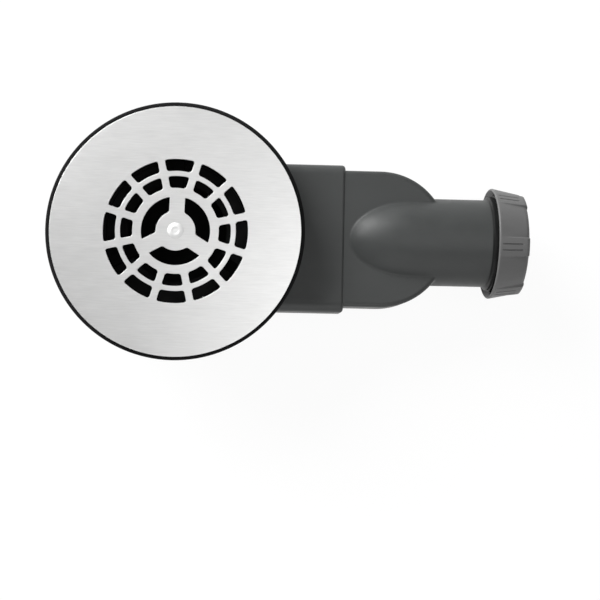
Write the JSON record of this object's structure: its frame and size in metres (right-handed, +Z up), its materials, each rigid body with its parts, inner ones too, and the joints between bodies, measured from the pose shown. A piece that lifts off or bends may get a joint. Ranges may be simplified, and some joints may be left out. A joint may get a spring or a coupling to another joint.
{
  "type": "shower trap",
  "caption": "Flat shower trap with a round slotted steel grille, a clamping flange for the tray, a shallow cup, a flat duct and a round horizontal outlet with a hand nut.",
  "frame": {"origin": "on the axis of the waste, in the plane where the tray is clamped between the flange and the gasket", "axes": "+Z up out of the tray along the axis of the waste, +X along the flat duct towards the outlet"},
  "size_m": [0.2235, 0.1188, 0.0579],
  "materials": {
    "brushed_plate": "fine straight brush lines",
    "rivet_steel": "smooth satin dome",
    "black_plastic": "moulded, satin",
    "black_rubber": "moulded rubber, dull",
    "grey_plastic": "moulded, satin",
    "nut_plastic": "moulded, satin, lighter grey",
    "pale_plastic": "moulded, smooth"
  },
  "bodies": {
    "trap": {"trap_body": "grey_plastic", "tray_gasket": "black_rubber", "upper_seal": "black_rubber", "water_cup": "black_plastic", "outlet_adaptor": "grey_plastic", "sleeve_seal": "black_rubber", "conical_seal": "black_rubber"},
    "inner_tube": {"dip_tube": "black_plastic", "dip_tube_o_ring": "black_rubber"},
    "clamp": {"clamp_flange": "black_plastic", "grille_plate": "brushed_plate", "grille_rivet": "rivet_steel", "grille_carrier": "black_plastic"},
    "ring": {"slip_ring": "pale_plastic"},
    "nut": {"union_nut": "nut_plastic"}
  },
  "joints": [
    {"name": "clamp_lift", "type": "slide", "parent": "trap", "child": "inner_tube", "axis": [0, 0, 1], "range_m": [0, 0.008]},
    {"name": "clamp_turn", "type": "hinge", "parent": "inner_tube", "child": "clamp", "pos_m": [0, 0, 0], "axis": [0, 0, 1], "range_deg": [0, 720]},
    {"name": "nut_travel", "type": "slide", "parent": "trap", "child": "ring", "axis": [1, 0, 0], "range_m": [0, 0.006]},
    {"name": "nut_turn", "type": "hinge", "parent": "ring", "child": "nut", "pos_m": [0.1566, 0, -0.02645], "axis": [1, 0, 0], "range_deg": [0, 720]}
  ],
  "couplings": [
    {"joint": "clamp_lift", "follows": "clamp_turn", "m_per_rad": 0.000636},
    {"joint": "nut_travel", "follows": "nut_turn", "m_per_rad": 0.000477}
  ]
}
